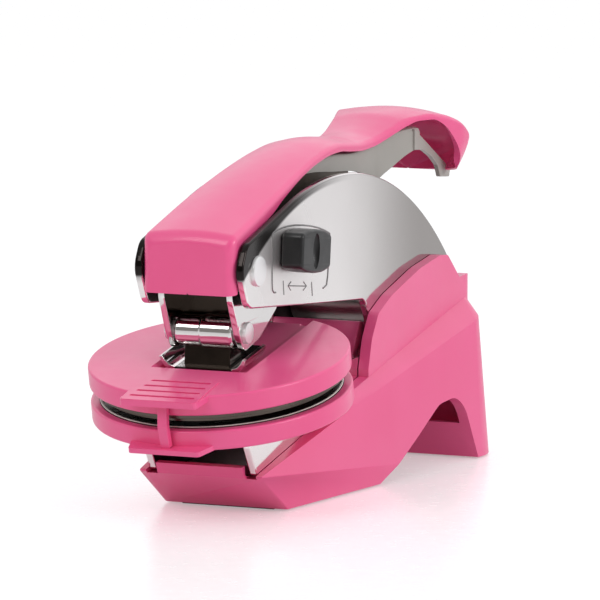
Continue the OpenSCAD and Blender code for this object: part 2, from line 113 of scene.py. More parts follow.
def rounded(points, degrees=5):
    """Outline whose corners (a, b, radius) are rounded by arcs."""
    out = []
    count = len(points)
    for i, (a, b, radius) in enumerate(points):
        here = Vector((a, b))
        if radius <= 0:
            out.append((a, b))
            continue
        to_prev = (Vector(points[i - 1][:2]) - here).normalized()
        to_next = (Vector(points[(i + 1) % count][:2]) - here).normalized()
        half = to_prev.angle(to_next) / 2
        centre = here + (to_prev + to_next).normalized() * radius / math.sin(half)
        start = here + to_prev * radius / math.tan(half) - centre
        end = here + to_next * radius / math.tan(half) - centre
        first = math.atan2(start.y, start.x)
        turn = (math.atan2(end.y, end.x) - first + math.pi) % (2 * math.pi) - math.pi
        steps = max(2, round(abs(math.degrees(turn)) / degrees))
        for k in range(steps + 1):
            angle = first + turn * k / steps
            out.append((centre.x + radius * math.cos(angle), centre.y + radius * math.sin(angle)))
    return out


def arc(centre, radius, start, end, steps):
    """Points of an arc with no corner radius, for use inside rounded()."""
    turns = [math.radians(start + (end - start) * k / steps) for k in range(steps + 1)]
    return [(centre[0] + radius * math.cos(t), centre[1] + radius * math.sin(t), 0) for t in turns]


def circle(centre, radius, steps=48):
    turns = [2 * math.pi * k / steps for k in range(steps)]
    return [(centre[0] + radius * math.cos(t), centre[1] + radius * math.sin(t)) for t in turns]


def spline(table, at):
    """Smooth value through a table of (position, value) rows, with no overshoot at the ends."""
    xs = [row[0] for row in table]
    ys = [row[1] for row in table]
    if at <= xs[0]:
        return ys[0]
    if at >= xs[-1]:
        return ys[-1]
    i = max(k for k in range(len(xs) - 1) if xs[k] <= at)
    step = xs[i + 1] - xs[i]

    def slope(k):
        if k == 0:
            return (ys[1] - ys[0]) / (xs[1] - xs[0])
        if k == len(xs) - 1:
            return (ys[-1] - ys[-2]) / (xs[-1] - xs[-2])
        before = (ys[k] - ys[k - 1]) / (xs[k] - xs[k - 1])
        after = (ys[k + 1] - ys[k]) / (xs[k + 1] - xs[k])
        return 0 if before * after <= 0 else 2 * before * after / (before + after)

    t = (at - xs[i]) / step
    h00, h10 = 2 * t**3 - 3 * t**2 + 1, t**3 - 2 * t**2 + t
    h01, h11 = -2 * t**3 + 3 * t**2, t**3 - t**2
    return h00 * ys[i] + h10 * step * slope(i) + h01 * ys[i + 1] + h11 * step * slope(i + 1)


def new_object(name, mesh, matrix=None):
    if matrix is not None:
        mesh.transform(matrix)
    obj = bpy.data.objects.new(name, mesh)
    bpy.context.scene.collection.objects.link(obj)
    return obj


def weld(mesh, distance=WELD, flat_angle=None):
    """Joins doubled points, turns the faces outwards and, with an angle, joins faces that lie flat."""
    bm = bmesh.new()
    bm.from_mesh(mesh)
    bmesh.ops.remove_doubles(bm, verts=bm.verts, dist=distance)
    bmesh.ops.recalc_face_normals(bm, faces=bm.faces)
    if flat_angle is not None:
        bmesh.ops.dissolve_limit(bm, angle_limit=flat_angle, verts=bm.verts, edges=bm.edges)
    bm.to_mesh(mesh)
    bm.free()


def mesh_from(name, points, faces, matrix=None):
    """Object from points in mm."""
    mesh = bpy.data.meshes.new(name)
    mesh.from_pydata([Vector(p) * MM for p in points], [], faces)
    weld(mesh)
    return new_object(name, mesh, matrix)


def shade(obj, sharp=35, weighted=True):
    obj.data.shade_smooth()
    obj.data.set_sharp_from_angle(angle=math.radians(sharp))
    if weighted:
        normals = obj.modifiers.new("weighted_normals", "WEIGHTED_NORMAL")
        normals.keep_sharp = True
    return obj


def bake_modifiers(obj):
    """Applies the object's modifiers to its mesh."""
    bpy.context.view_layer.update()
    graph = bpy.context.evaluated_depsgraph_get()
    mesh = bpy.data.meshes.new_from_object(obj.evaluated_get(graph))
    obj.modifiers.clear()
    old = obj.data
    obj.data = mesh
    bpy.data.meshes.remove(old)
    return obj


def round_edges(obj, width, angle):
    """Rounds the edges where faces turn by more than angle, in degrees."""
    bevel = obj.modifiers.new("rounded_edges", "BEVEL")
    bevel.width = width * MM
    bevel.segments = 3
    bevel.limit_method = "ANGLE"
    bevel.angle_limit = math.radians(angle)
    bevel.use_clamp_overlap = True
    return bake_modifiers(obj)


def combine(obj, other, operation):
    """Adds or cuts another object, which is then removed."""
    change = obj.modifiers.new("combine", "BOOLEAN")
    change.operation = operation
    change.solver = "EXACT"
    change.object = other
    bake_modifiers(obj)
    bpy.data.objects.remove(other)
    return obj


def drawn_mesh(name, lines, radius, rings, half_thickness=None):
    """Mesh drawn along lines of points in mm.

    The lines are round wires of the given radius or, with half_thickness, the closed outlines of a
    plate whose edges are rounded by that radius.
    """
    curve = bpy.data.curves.new(name, "CURVE")
    flat = half_thickness is not None
    curve.dimensions = "2D" if flat else "3D"
    curve.bevel_depth = radius * MM
    curve.bevel_resolution = rings
    if flat:
        curve.fill_mode = "BOTH"
        curve.extrude = (half_thickness - radius) * MM
        curve.offset = -radius * MM
    else:
        curve.use_fill_caps = True
    for points in lines:
        line = curve.splines.new("POLY")
        line.points.add(len(points) - 1)
        line.use_cyclic_u = flat
        for point, at in zip(line.points, points):
            point.co = (at[0] * MM, at[1] * MM, at[2] * MM, 1)
    drawn = bpy.data.objects.new(name + "_curve", curve)
    bpy.context.scene.collection.objects.link(drawn)
    bpy.context.view_layer.update()
    graph = bpy.context.evaluated_depsgraph_get()
    mesh = bpy.data.meshes.new_from_object(drawn.evaluated_get(graph))
    bpy.data.objects.remove(drawn)
    return mesh


def plate(name, outline, x0, x1, holes=(), bevel=0.2, rings=2, matrix=None):
    """Flat plate with rounded edges: a closed outline and its holes, thick from x0 to x1."""
    lines = [[(a, b, 0) for a, b in ring] for ring in [outline, *holes]]
    mesh = drawn_mesh(name, lines, bevel, rings, (x1 - x0) / 2)
    weld(mesh)
    middle = Matrix.Translation((0, 0, (x0 + x1) / 2 * MM))
    return new_object(name, mesh, (matrix or Matrix()) @ side_matrix() @ middle)


def prism(name, outline, low, high, matrix):
    """Solid with an (a, b) outline, from low to high along the third axis of its own frame."""
    points = [(a, b, c) for c in (low, high) for a, b in outline]
    count = len(outline)
    faces = [tuple(range(count))[::-1], tuple(range(count, 2 * count))]
    faces += [(i, (i + 1) % count, (i + 1) % count + count, i + count) for i in range(count)]
    return mesh_from(name, points, faces, matrix)


def turned(name, profile, matrix, segments=96):
    """Solid of revolution about local z from (radius, z) points in mm, closed on the axis."""
    points, faces = [], []
    for k in range(segments):
        turn = 2 * math.pi * k / segments
        points += [(r * math.cos(turn), r * math.sin(turn), z) for r, z in profile]
    count = len(profile)
    for k in range(segments):
        a, b = k * count, (k + 1) % segments * count
        faces += [(a + i, b + i, b + i + 1, a + i + 1) for i in range(count - 1)]
    return mesh_from(name, points, faces, matrix)


def ring_of_profile(name, profile, matrix, segments=96):
    """Ring turned from a closed (radius, z) outline that stays off the axis."""
    return turned(name, [*profile, profile[0]], matrix, segments)


def join(name, parts):
    """One object from several, each part keeping its first material."""
    mats = []
    bm = bmesh.new()
    for part in parts:
        mat = part.data.materials[0] if part.data.materials else None
        if mat not in mats:
            mats.append(mat)
        for face in part.data.polygons:
            face.material_index = mats.index(mat)
        bm.from_mesh(part.data)
    mesh = bpy.data.meshes.new(name)
    bm.to_mesh(mesh)
    bm.free()
    for mat in mats:
        if mat is not None:
            mesh.materials.append(mat)
    for part in parts:
        bpy.data.objects.remove(part)
    return new_object(name, mesh)


def mirrored(obj, name):
    mesh = obj.data.copy()
    mesh.transform(Matrix.Scale(-1, 4, (1, 0, 0)))
    mesh.flip_normals()
    return new_object(name, mesh)


def refined(node, width):
    """The CAD node's own shape with its edges rounded."""
    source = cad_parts[node].data
    mesh = bpy.data.meshes.new(node + "_body")
    faces = [tuple(p.vertices) for p in source.polygons]
    mesh.from_pydata([v.co.copy() for v in source.vertices], [], faces)
    weld(mesh, CAD_WELD, math.radians(CAD_FLAT))
    return round_edges(new_object(node + "_body", mesh), width, CAD_EDGE)


def paint(obj, *mats):
    obj.data.materials.clear()
    for mat in mats:
        obj.data.materials.append(mat)
    return obj


def place(obj, body, node):
    """Puts a finished piece on its body, in place of its CAD node."""
    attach(obj, body)
    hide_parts(node)


def finish_piece(obj, mat, body, node, sharp=35):
    """Shades and paints a piece of one material, and puts it in place."""
    place(paint(shade(obj, sharp), mat), body, node)


# ---------------------------------------------------------------- materials

# Scales of the colour's drift, of the gloss and of the ripple in metal sheet
PATCH_SCALE, GLOSS_SCALE, WAVE_SCALE = 60, 240, 18
# Range that holds most of a noise's values
NOISE_LOW, NOISE_HIGH = 0.3, 0.7


def srgb(r, g, b):
    def linear(c):
        c /= 255
        return c / 12.92 if c <= 0.04045 else ((c + 0.055) / 1.055) ** 2.4

    return (linear(r), linear(g), linear(b), 1)


def map_range(tree, value, low, high, at_low=0, at_high=1, smooth=True):
    """Output that goes from at_low to at_high as value goes from low to high."""
    node = tree.nodes.new("ShaderNodeMapRange")
    if smooth:
        node.interpolation_type = "SMOOTHSTEP"
    for socket, number in (("From Min", low), ("From Max", high), ("To Min", at_low), ("To Max", at_high)):
        node.inputs[socket].default_value = number
    tree.links.new(value, node.inputs["Value"])
    return node.outputs["Result"]


def mix_colour(tree, share, first, second):
    """Colour between first and second, each a fixed colour or another node's output."""
    node = tree.nodes.new("ShaderNodeMix")
    node.data_type = "RGBA"
    tree.links.new(share, node.inputs[0])
    for socket, colour in ((node.inputs[6], first), (node.inputs[7], second)):
        if isinstance(colour, tuple):
            socket.default_value = colour
        else:
            tree.links.new(colour, socket)
    return node.outputs[2]


def position(tree, kind="Object"):
    return tree.nodes.new("ShaderNodeTexCoord").outputs[kind]


def along(tree, axis, kind="Object"):
    """Place along one axis, in metres."""
    split = tree.nodes.new("ShaderNodeSeparateXYZ")
    tree.links.new(position(tree, kind), split.inputs["Vector"])
    return split.outputs[axis]


def distance_from(tree, at, axes=(1, 1, 1)):
    """Distance in metres from a place in mm, measured along the axes that aren't 0."""
    kept = tree.nodes.new("ShaderNodeVectorMath")
    kept.operation = "MULTIPLY"
    kept.inputs[1].default_value = axes
    tree.links.new(position(tree), kept.inputs[0])
    reach = tree.nodes.new("ShaderNodeVectorMath")
    reach.operation = "DISTANCE"
    reach.inputs[1].default_value = Vector(at) * MM
    tree.links.new(kept.outputs["Vector"], reach.inputs[0])
    return reach.outputs["Value"]


def combined(tree, operation, first, second):
    node = tree.nodes.new("ShaderNodeMath")
    node.operation = operation
    tree.links.new(first, node.inputs[0])
    tree.links.new(second, node.inputs[1])
    return node.outputs["Value"]


def material(name, dark, light, rough, grain, grain_depth, metallic=0.0, wave=0.0, coat=0.0):
    """Surface with drifting colour, uneven gloss, a fine grain and, on metal, a slow ripple.

    dark and light are the two ends of the colour's drift, rough the two ends of the roughness;
    grain is the grain's scale, and grain_depth and wave are heights in mm.
    """
    mat = bpy.data.materials.new(name)
    mat.use_nodes = True
    tree = mat.node_tree
    nodes, links = tree.nodes, tree.links
    shader = nodes["Principled BSDF"]
    shader.inputs["Metallic"].default_value = metallic
    shader.inputs["Coat Weight"].default_value = coat
    shader.inputs["Coat Roughness"].default_value = 0.12
    where = position(tree)

    def noise(scale, detail):
        node = nodes.new("ShaderNodeTexNoise")
        node.inputs["Scale"].default_value = scale
        node.inputs["Detail"].default_value = detail
        links.new(where, node.inputs["Vector"])
        return node.outputs["Fac"]

    def spread(value, low, high):
        return map_range(tree, value, NOISE_LOW, NOISE_HIGH, low, high, smooth=False)

    tint = mix_colour(tree, spread(noise(PATCH_SCALE, 3), 0, 1), srgb(*dark), srgb(*light))
    links.new(tint, shader.inputs["Base Color"])
    links.new(spread(noise(GLOSS_SCALE, 4), *rough), shader.inputs["Roughness"])
    bump = nodes.new("ShaderNodeBump")
    bump.inputs["Distance"].default_value = grain_depth * MM
    bump.inputs["Strength"].default_value = 0.6
    links.new(noise(grain, 3), bump.inputs["Height"])
    if wave:
        ripple = nodes.new("ShaderNodeBump")
        ripple.inputs["Distance"].default_value = wave * MM
        ripple.inputs["Strength"].default_value = 1
        links.new(noise(WAVE_SCALE, 1), ripple.inputs["Height"])
        links.new(ripple.outputs["Normal"], bump.inputs["Normal"])
    links.new(bump.outputs["Normal"], shader.inputs["Normal"])
    return mat


PINK = material("pink_plastic", (236, 84, 140), (239, 90, 146), (0.32, 0.40), 900, 0.002, coat=0.3)
CHROME = material("chrome", (226, 223, 222), (234, 231, 230), (0.05, 0.10), 700, 0.0004, metallic=1,
                  wave=0.25)
PLATE_CHROME = material("plate_chrome", (236, 232, 231), (242, 238, 237), (0.07, 0.12), 700, 0.0004,
                        metallic=1, wave=0.25)
STEEL = material("zinc_steel", (176, 174, 170), (196, 194, 190), (0.28, 0.40), 2200, 0.0015, metallic=1)
PIN_STEEL = material("pin_steel", (232, 232, 232), (244, 244, 244), (0.28, 0.4), 1800, 0.003, metallic=0.5)
LEVER = material("lever_coating", (62, 50, 38), (84, 68, 50), (0.28, 0.42), 2000, 0.006, metallic=0.7)
GREY = material("grey_plastic", (160, 156, 150), (172, 168, 162), (0.34, 0.46), 2400, 0.01)
BLACK = material("black_plastic", (17, 17, 18), (26, 26, 27), (0.30, 0.44), 2800, 0.012)
DIE = material("die_metal", (84, 78, 72), (108, 101, 93), (0.24, 0.38), 1600, 0.004, metallic=0.95)
# near-white paint on the lower die's lip: a painted highlight
DIE_LIP_HIGHLIGHT = material("die_lip_painted_highlight", (240, 234, 226), (248, 243, 236), (0.2, 0.3), 1600, 0.002,
                    metallic=0.1)
RUBBER = material("rubber", (24, 24, 25), (36, 36, 37), (0.68, 0.85), 2000, 0.03)
MARK = material("engraved_shadow", (128, 126, 126), (148, 146, 146), (0.35, 0.5), 1800, 0.004, metallic=0.8)
# near-black paint for the plates' inward faces: painted shade for the dark space between the plates
INNER_SHADE = material("plate_inner_painted_shade", (22, 19, 18), (32, 28, 26), (0.45, 0.6), 1800, 0.004, metallic=0.3)
# near-black glossy metal on the foot's sole and neck and on the yoke's web: a painted dark reflection and
# painted shade
PAINTED_DARK_METAL = material("metal_painted_dark_reflection", (40, 33, 28), (56, 47, 40), (0.16, 0.26), 1600, 0.002, metallic=0.9)


def tint_over(tree, share, colour):
    """Mixes a colour over a material's own, where share is 1."""
    base = tree.nodes["Principled BSDF"].inputs["Base Color"]
    tree.links.new(mix_colour(tree, share, base.links[0].from_socket, colour), base)


def paint_plate_reflections(tree):
    """Painted darker reflections in the frame plates' colour: at the rear, along the nose's front edge and
    along the rolled upper edge; and a duller patch around the knob."""
    # painted reflections: darker towards the rear, a dark band on the nose's front edge and one along the
    # upper edge at the front
    tint_over(tree, map_range(tree, along(tree, "Y"), -8 * MM, 46 * MM), srgb(160, 155, 152))
    tint_over(tree, map_range(tree, along(tree, "Y"), -53.4 * MM, -55.2 * MM), srgb(50, 46, 45))
    out = distance_from(tree, (0, *CROWN_CENTRE), (0, 1, 1))
    on_edge = map_range(tree, out, (CROWN_R - 1.9) * MM, (CROWN_R - 1.1) * MM)
    in_front = map_range(tree, along(tree, "Y"), -30 * MM, 8 * MM, 1, 0)
    tint_over(tree, combined(tree, "MULTIPLY", on_edge, in_front), srgb(44, 40, 39))
    rough = tree.nodes["Principled BSDF"].inputs["Roughness"]
    dull = map_range(tree, distance_from(tree, (PLATE_OUT, -32, 54)), 9 * MM, 24 * MM, 0.4, 0)
    tree.links.new(combined(tree, "MAXIMUM", dull, rough.links[0].from_socket), rough)


paint_plate_reflections(PLATE_CHROME.node_tree)


# ---------------------------------------------------------------- base and frame


def build_base_parts():
    for node, slot, width, mat in (
        ("base_shell", "pink_plastic", 0.3, PINK),
        ("front_foot_pads", "rubber", 0.25, RUBBER),
        ("rear_foot_pad", "rubber", 0.25, RUBBER),
        ("tie_block", "steel", 0.3, STEEL),
        ("anvil_plate", "steel", 0.4, STEEL),
        ("frame_spacers", "steel", 0.2, STEEL),
        ("clip_catch", "pink_plastic", 0.35, PINK),
    ):
        finish_piece(refined(node, width), mat, "frame", node)


def plate_outline():
    bottom = -CLIP_H - 0.1
    tip, root = clip_point(-15.1, bottom), clip_point(33, bottom)
    return rounded(
        [
            (*tip, 0.5), (*root, 1), (3, 28.0, 4), (13.4, 28.6, 6), (15.4, 35, 3), (11.6, 40.7, 3.5),
            (-51.3, 45.9, 3), (-55.4, 54.2, 5), (-52.4, 59.6, 4),
            *arc(CROWN_CENTRE, CROWN_R, 106.5, 41.5, 60),
            (66, 33, 3), (60, 27.5, 4), (36, 21, 4), (6, 7.5, 3), (-3, 3.2, 2), (-36.4, 3.2, 1),
            (-43, 8.9, 0.2), (-47.4, 9.4, 1), (-51.2, 15.8, 2),
        ]
    )


def frame_plate(name, side, holes=()):
    return plate(name, plate_outline(), *span(side, PLATE_IN, PLATE_OUT), holes, bevel=0.45, rings=4)


def darken_inside(obj, side):
    """Paints the faces of a plate that look inwards, towards side, near-black: painted shade for the shadowed
    space between the plates.
    """
    obj.data.materials.append(INNER_SHADE)
    for face in obj.data.polygons:
        if face.normal.x * side > 0.9:
            face.material_index = len(obj.data.materials) - 1


def build_plates():
    left = paint(shade(frame_plate("frame_plate_left_body", -1)), PLATE_CHROME)
    darken_inside(left, 1)
    place(left, "frame", "frame_plate_left")
    slope = Matrix.Rotation(LOCK_SLOPE, 2)
    hole = rounded([(-2.1, -2.1, 0.3), (7.1, -2.1, 0.3), (7.1, 2.1, 0.3), (-2.1, 2.1, 0.3)])
    hole = [tuple(slope @ Vector(p) + Vector(LOCK_MID)) for p in hole]
    right = paint(frame_plate("right_plate_blank", 1, [hole]), PLATE_CHROME)
    right = join("frame_plate_right_body", [right, *build_marks()])
    darken_inside(shade(right), -1)
    place(right, "frame", "frame_plate_right")


def build_marks():
    """Raised bracket around the knob and, under it, generic marks for the two places of the slide."""
    bracket = [
        [(-37.6, 47.9), (-38.6, 48.0), (-39.3, 48.6), (-39.5, 50), (-39.6, 60.5)],
        [(-39.6, 60.5), (-38.9, 61.0), (-36.4, 61.4), (-33.5, 61.6), (-30.7, 61.6), (-27, 61.4),
         (-23.2, 61.0), (-18.5, 60.3), (-14, 59.4), (-10.8, 58.5), (-8.2, 57.6)],
        [(-8.2, 57.6), (-8.6, 53), (-9.4, 48.2), (-10.0, 46.4), (-11.9, 45.9)],
    ]
    # a double arrow between two short bars
    arrow = [
        [(-31, 48.6), (-21, 47.4)],
        [(-29.4, 49.3), (-31, 48.6), (-29.6, 47.5)],
        [(-22.6, 48.5), (-21, 47.4), (-22.8, 46.7)],
        [(-33.6, 50.0), (-33.2, 46.9)],
        [(-18.2, 48.0), (-17.8, 44.9)],
    ]
    lines = []
    for paths, radius in ((bracket, 0.2), (arrow, 0.14)):
        for path in paths:
            name = f"line_{len(lines)}"
            points = [(PLATE_OUT - 0.02, y, z) for y, z in path]
            lines.append(paint(new_object(name, drawn_mesh(name, [points], radius, 3)), MARK))
    return lines


def headed_pin(name, at, shank, head, reach, head_h):
    """Pin along x with a chamfered head at each end."""
    edge = 0.18
    top = reach + head_h
    profile = [(0, top), (head - 2 * edge, top), (head - edge * 0.6, top - edge * 0.6),
               (head, top - 2 * edge), (head, reach), (shank, reach)]
    mirror = [(r, -z) for r, z in reversed(profile)]
    return turned(name, profile + mirror, bar_matrix(at), 64)


def plain_pin(name, at, radius, reach, chamfer=0.25):
    profile = [(0, reach), (radius - chamfer, reach), (radius, reach - chamfer)]
    return turned(name, profile + [(r, -z) for r, z in reversed(profile)], bar_matrix(at), 48)


def build_frame_pins():
    pin = headed_pin("fulcrum_pin_body", FULCRUM, 2.5, 3.3, PLATE_OUT, 0.8)
    finish_piece(pin, PIN_STEEL, "frame", "fulcrum_pin")
    anchor = plain_pin("spring_anchor_pin_body", SPRING_ANCHOR, 1.5, PLATE_IN + 1.1)
    finish_piece(anchor, STEEL, "frame", "spring_anchor_pin")
    places = [(-29, 6.2), (-8, 6.2), clip_point(3, -15), clip_point(14, -15), (27, 37.5), (49.8, 42),
              (34, 26.5), (13.8, 23.8)]
    rivets = [plain_pin(f"rivet_{i}", at, 2, PLATE_OUT + 0.1, 0.1) for i, at in enumerate(places)]
    finish_piece(join("frame_rivets_body", rivets), CHROME, "frame", "frame_rivets")
    bore, rim = 2.52, 4.6
    washers = []
    for side in (-1, 1):
        low, high = span(side, 8.95, 10.45)
        profile = rounded([(bore, low, 0.15), (rim, low, 0.2), (rim, high, 0.2), (bore, high, 0.15)], 30)
        washers.append(ring_of_profile(f"washer_{side}", profile, bar_matrix(FULCRUM), 64))
    finish_piece(join("fulcrum_washers_body", washers), STEEL, "frame", "fulcrum_washers")


def slotted_screw(name, y, z, head_r, head_h, shank_r, length):
    """Screw that stands on its head, with its slot facing down."""
    matrix = Matrix.Translation((0, y * MM, z * MM))
    tip = head_h + length
    profile = [(0, 0), (head_r - 0.35, 0), (head_r, 0.35), (head_r, head_h), (shank_r, head_h),
               (shank_r, tip - 0.3), (shank_r - 0.3, tip), (0, tip)]
    half, wide = head_r * 1.2, 0.32
    outline = [(-half, -wide), (half, -wide), (half, wide), (-half, wide)]
    slot = prism(name + "_slot", outline, -0.5, 0.5, matrix)
    return combine(turned(name, profile, matrix, 40), slot, "DIFFERENCE")


def build_screws():
    base = [slotted_screw(f"base_screw_{y}", y, 0.6, 2.9, 1.3, 1.5, 5.6) for y in (-24, -15)]
    finish_piece(join("base_screws_body", base), STEEL, "frame", "base_screws")
    places = ((-12, 65.2), (12, 67.9))
    cover = [slotted_screw(f"cover_screw_{y}", y, z, 2.4, 1.2, 1.28, 5.7) for y, z in places]
    finish_piece(join("cover_screws_body", cover), STEEL, "handle", "cover_screws")


# ---------------------------------------------------------------- lever, liner and cover

LEVER_OUTLINE = [(-52.3, 54, 5), (-50.6, 59.4, 3), (-39, 61.8, 6), (-4, 70, 10), (21, 71.2, 1), (21, 67.4, 1),
                 (-4, 63.6, 10), (-19.5, 60.6, 6), (-31, 54.6, 4), (-47.2, 48.4, 4.5)]
LEVER_WEB = [(-46, 60, 0.3), (-39, 61.5, 6), (-4, 69.7, 10), (20.7, 70.9, 0.3), (20.7, 69.3, 0.3),
             (-4, 68.1, 10), (-39, 60, 6), (-46, 58.5, 0.3)]
HOOK_PRESSED = [(-7.4, 58.2, 0), (-7.4, 49.6, 0.4), (-13.2, 49.6, 0.3), (-13.2, 50.9, 0.3), (-9.3, 50.9, 0.3),
                (-9.3, 58.2, 0)]


def turned_open(points, degrees=10):
    """Side-view points drawn for the pressed handle, turned back to where they are at rest."""
    turn = Matrix.Rotation(math.radians(degrees), 2)
    centre = Vector(FULCRUM)
    return [tuple(turn @ (Vector(p) - centre) + centre) for p in points]


def build_lever():
    holes = [circle(FULCRUM, 2.56), circle(DRIVE, 2.02)]
    hook = turned_open(rounded(HOOK_PRESSED))
    parts = []
    for side in (-1, 1):
        parts.append(plate(f"lever_cheek_{side}", rounded(LEVER_OUTLINE), *span(side, 3.7, 4.8), holes))
        parts.append(plate(f"lever_hook_{side}", hook, *span(side, 3.8, 4.7), bevel=0.15))
    parts.append(plate("lever_web", rounded(LEVER_WEB), -4.2, 4.2))
    finish_piece(join("lever_arm_body", parts), LEVER, "handle", "lever_arm")
    finish_piece(plain_pin("drive_pin_body", DRIVE, 2, 8.8), STEEL, "handle", "drive_pin")


# Grey liner: y, half width, top and lower edge of its skirts; the lower edge rises into the arch
LINER = [(-23, 5.9, 68.3, 66.8), (-4.7, 5.9, 72.1, 70.2), (9.8, 5.9, 73.2, 69.2), (21.5, 5.9, 72.6, 68.2),
         (29, 5.5, 72.6, 66.8), (33.6, 5.8, 73.2, 65.6), (35.2, 6.1, 73.5, 65.3), (38, 6.5, 74.1, 66.2),
         (42, 7.1, 75.0, 67.6), (46, 8.1, 75.6, 69.4), (49.5, 9.2, 75.8, 70.6), (52, 9.5, 75.6, 70.8)]
LINER_LEG = [(48.6, 70.6, 0), (48.6, 75.4, 0), (70.0, 64.4, 0.6), (69.4, 62.5, 0.5), (63.9, 63.0, 0.5),
             (62.4, 65.8, 2), (58.6, 68.2, 4), (53.6, 70.2, 4)]
LINER_STEP, LINER_WALL = 0.5, 1


def liner_ring(y):
    """Section of the liner's right half: up the outside, over the top and down the inside."""
    half, top, rim = (spline([(row[0], row[k]) for row in LINER], y) for k in (1, 2, 3))
    outer = [(half, rim), (half, top - 1.2), (half - 0.35, top - 0.35), (half - 1.2, top)]
    inner = [(x - LINER_WALL, min(z, top - LINER_WALL)) for x, z in outer[::-1]]
    inner[-1] = (half - LINER_WALL, rim)
    return [(x, y, z) for x, z in [*outer, (0, top), (0, top - LINER_WALL), *inner]]


def build_liner():
    rings = []
    y = LINER[0][0]
    while y < LINER[-1][0]:
        rings.append(liner_ring(y))
        y += LINER_STEP
    count = len(rings[0])
    # the two halves meet at this point of a ring, so no wall closes the section there
    middle = 4
    faces = [
        (i * count + j, i * count + (j + 1) % count, (i + 1) * count + (j + 1) % count, (i + 1) * count + j)
        for i in range(len(rings) - 1)
        for j in range(count)
        if j != middle
    ]
    last = (len(rings) - 1) * count
    faces += [tuple(range(count)), tuple(range(last, last + count))]
    half = mesh_from("liner_half", [p for ring in rings for p in ring], faces)
    leg = round_edges(prism("liner_leg", rounded(LINER_LEG), 8.4, 9.5, side_matrix()), 0.2, 40)
    other = [mirrored(half, "liner_other_half"), mirrored(leg, "liner_other_leg")]
    liner = join("grip_liner_body", [half, leg, *other])
    finish_piece(liner, GREY, "handle", "grip_liner")


# Handle cover: y and then the half width, the top edge, the lower edge and the crown's rise there
COVER_HALF = [(-55.4, 10.8), (-44, 10.7), (-34, 10.4), (-24, 9.9), (-14, 9.2), (-4, 8.6), (6, 8.1), (16, 7.5),
              (29, 7.1), (35, 7.6), (40, 8.4), (45, 9.3), (49, 10.5), (53, 11.9), (57, 13.3), (61, 14.4),
              (65, 15.1), (68, 15.1), (71, 14.6)]
COVER_EDGE = [(-55.4, 61.3), (-44, 64.5), (-34, 67.4), (-24, 70.1), (-14, 72.5), (-4, 74.5), (4, 75.6),
              (9, 75.8), (16, 75.3), (24, 74.7), (30, 74.9), (35, 75.7), (40, 76.9), (45, 78.2), (49, 78.5),
              (53, 78.7), (57, 78.3), (61, 77.3), (65, 75.7), (68, 73.9), (71, 71.6)]
COVER_RIM = [(-55.4, 48.8), (-53.0, 49.2), (-52.4, 55), (-51.4, 59.2), (-44, 61.1), (-34, 64.2), (-27, 67.0),
             (-14, 70.8), (-4, 72.8), (4, 73.7), (9, 73.8), (16, 73.2), (24, 72.7), (30, 73.0), (35, 73.9),
             (40, 75.2), (45, 76.5), (49, 77.3), (53, 77.3), (57, 75.8), (61, 71.9), (64, 68.1), (67, 65.2),
             (71, 64.2)]
COVER_CROWN = [(-55.4, 0.6), (-44, 1.0), (-20, 1.3), (6, 1.0), (24, 0.9), (33, 0.9), (51, 0.95), (60, 1.6),
               (71, 2.4)]
NOSE_Y, NOSE_R = -55.3, 2.2
TAIL_Y, TAIL_R = 70.9, 3.6
COVER_WALL = 1.55


def cover_ring(y, inset):
    """Outer line of the cover from the left rim over the top to the right rim.

    inset draws the line in, for the rounded front and rear.
    """
    half = spline(COVER_HALF, y) - inset
    edge = spline(COVER_EDGE, y) - inset
    crown = spline(COVER_CROWN, y)
    rim = spline(COVER_RIM, y)
    shoulder = min(1.6, half * 0.3, max(0.3, (edge - rim) * 0.8))
    side_steps, turn_steps, top_steps = 5, 6, 8
    side = [(half, rim + (edge - shoulder - rim) * k / side_steps) for k in range(side_steps)]
    for k in range(turn_steps + 1):
        turn = math.pi / 2 * k / turn_steps
        side.append((half - shoulder * (1 - math.cos(turn)), edge - shoulder * (1 - math.sin(turn))))
    for k in range(1, top_steps + 1):
        share = 1 - k / top_steps
        side.append(((half - shoulder) * share, edge + crown * (1 - share * share)))
    right = [(x, y, z) for x, z in side]
    left = [(-x, y, z) for x, z in reversed(side[:-1])]
    return right + left


def cover_cap(y, inset):
    """Rings that close one end of the cover, from its lower middle outwards."""
    base = Vector((0, y, spline(COVER_RIM, y)))
    ring = [Vector(p) - base for p in cover_ring(y, inset)]
    return [[base + p * share for p in ring] for share in (0.02, 0.25, 0.5, 0.75)]


def tail_curl(point):
    """Draws the lower rear corners in, so that the hood's tail curls under."""
    share = min(1, max(0, (point.y - 60) / 9))
    share = share * share * (3 - 2 * share)
    drop = (max(0, 72.5 - point.z) / 8) ** 1.5 * share
    return Vector((point.x * (1 - 0.14 * drop), point.y - 3.4 * drop, point.z))


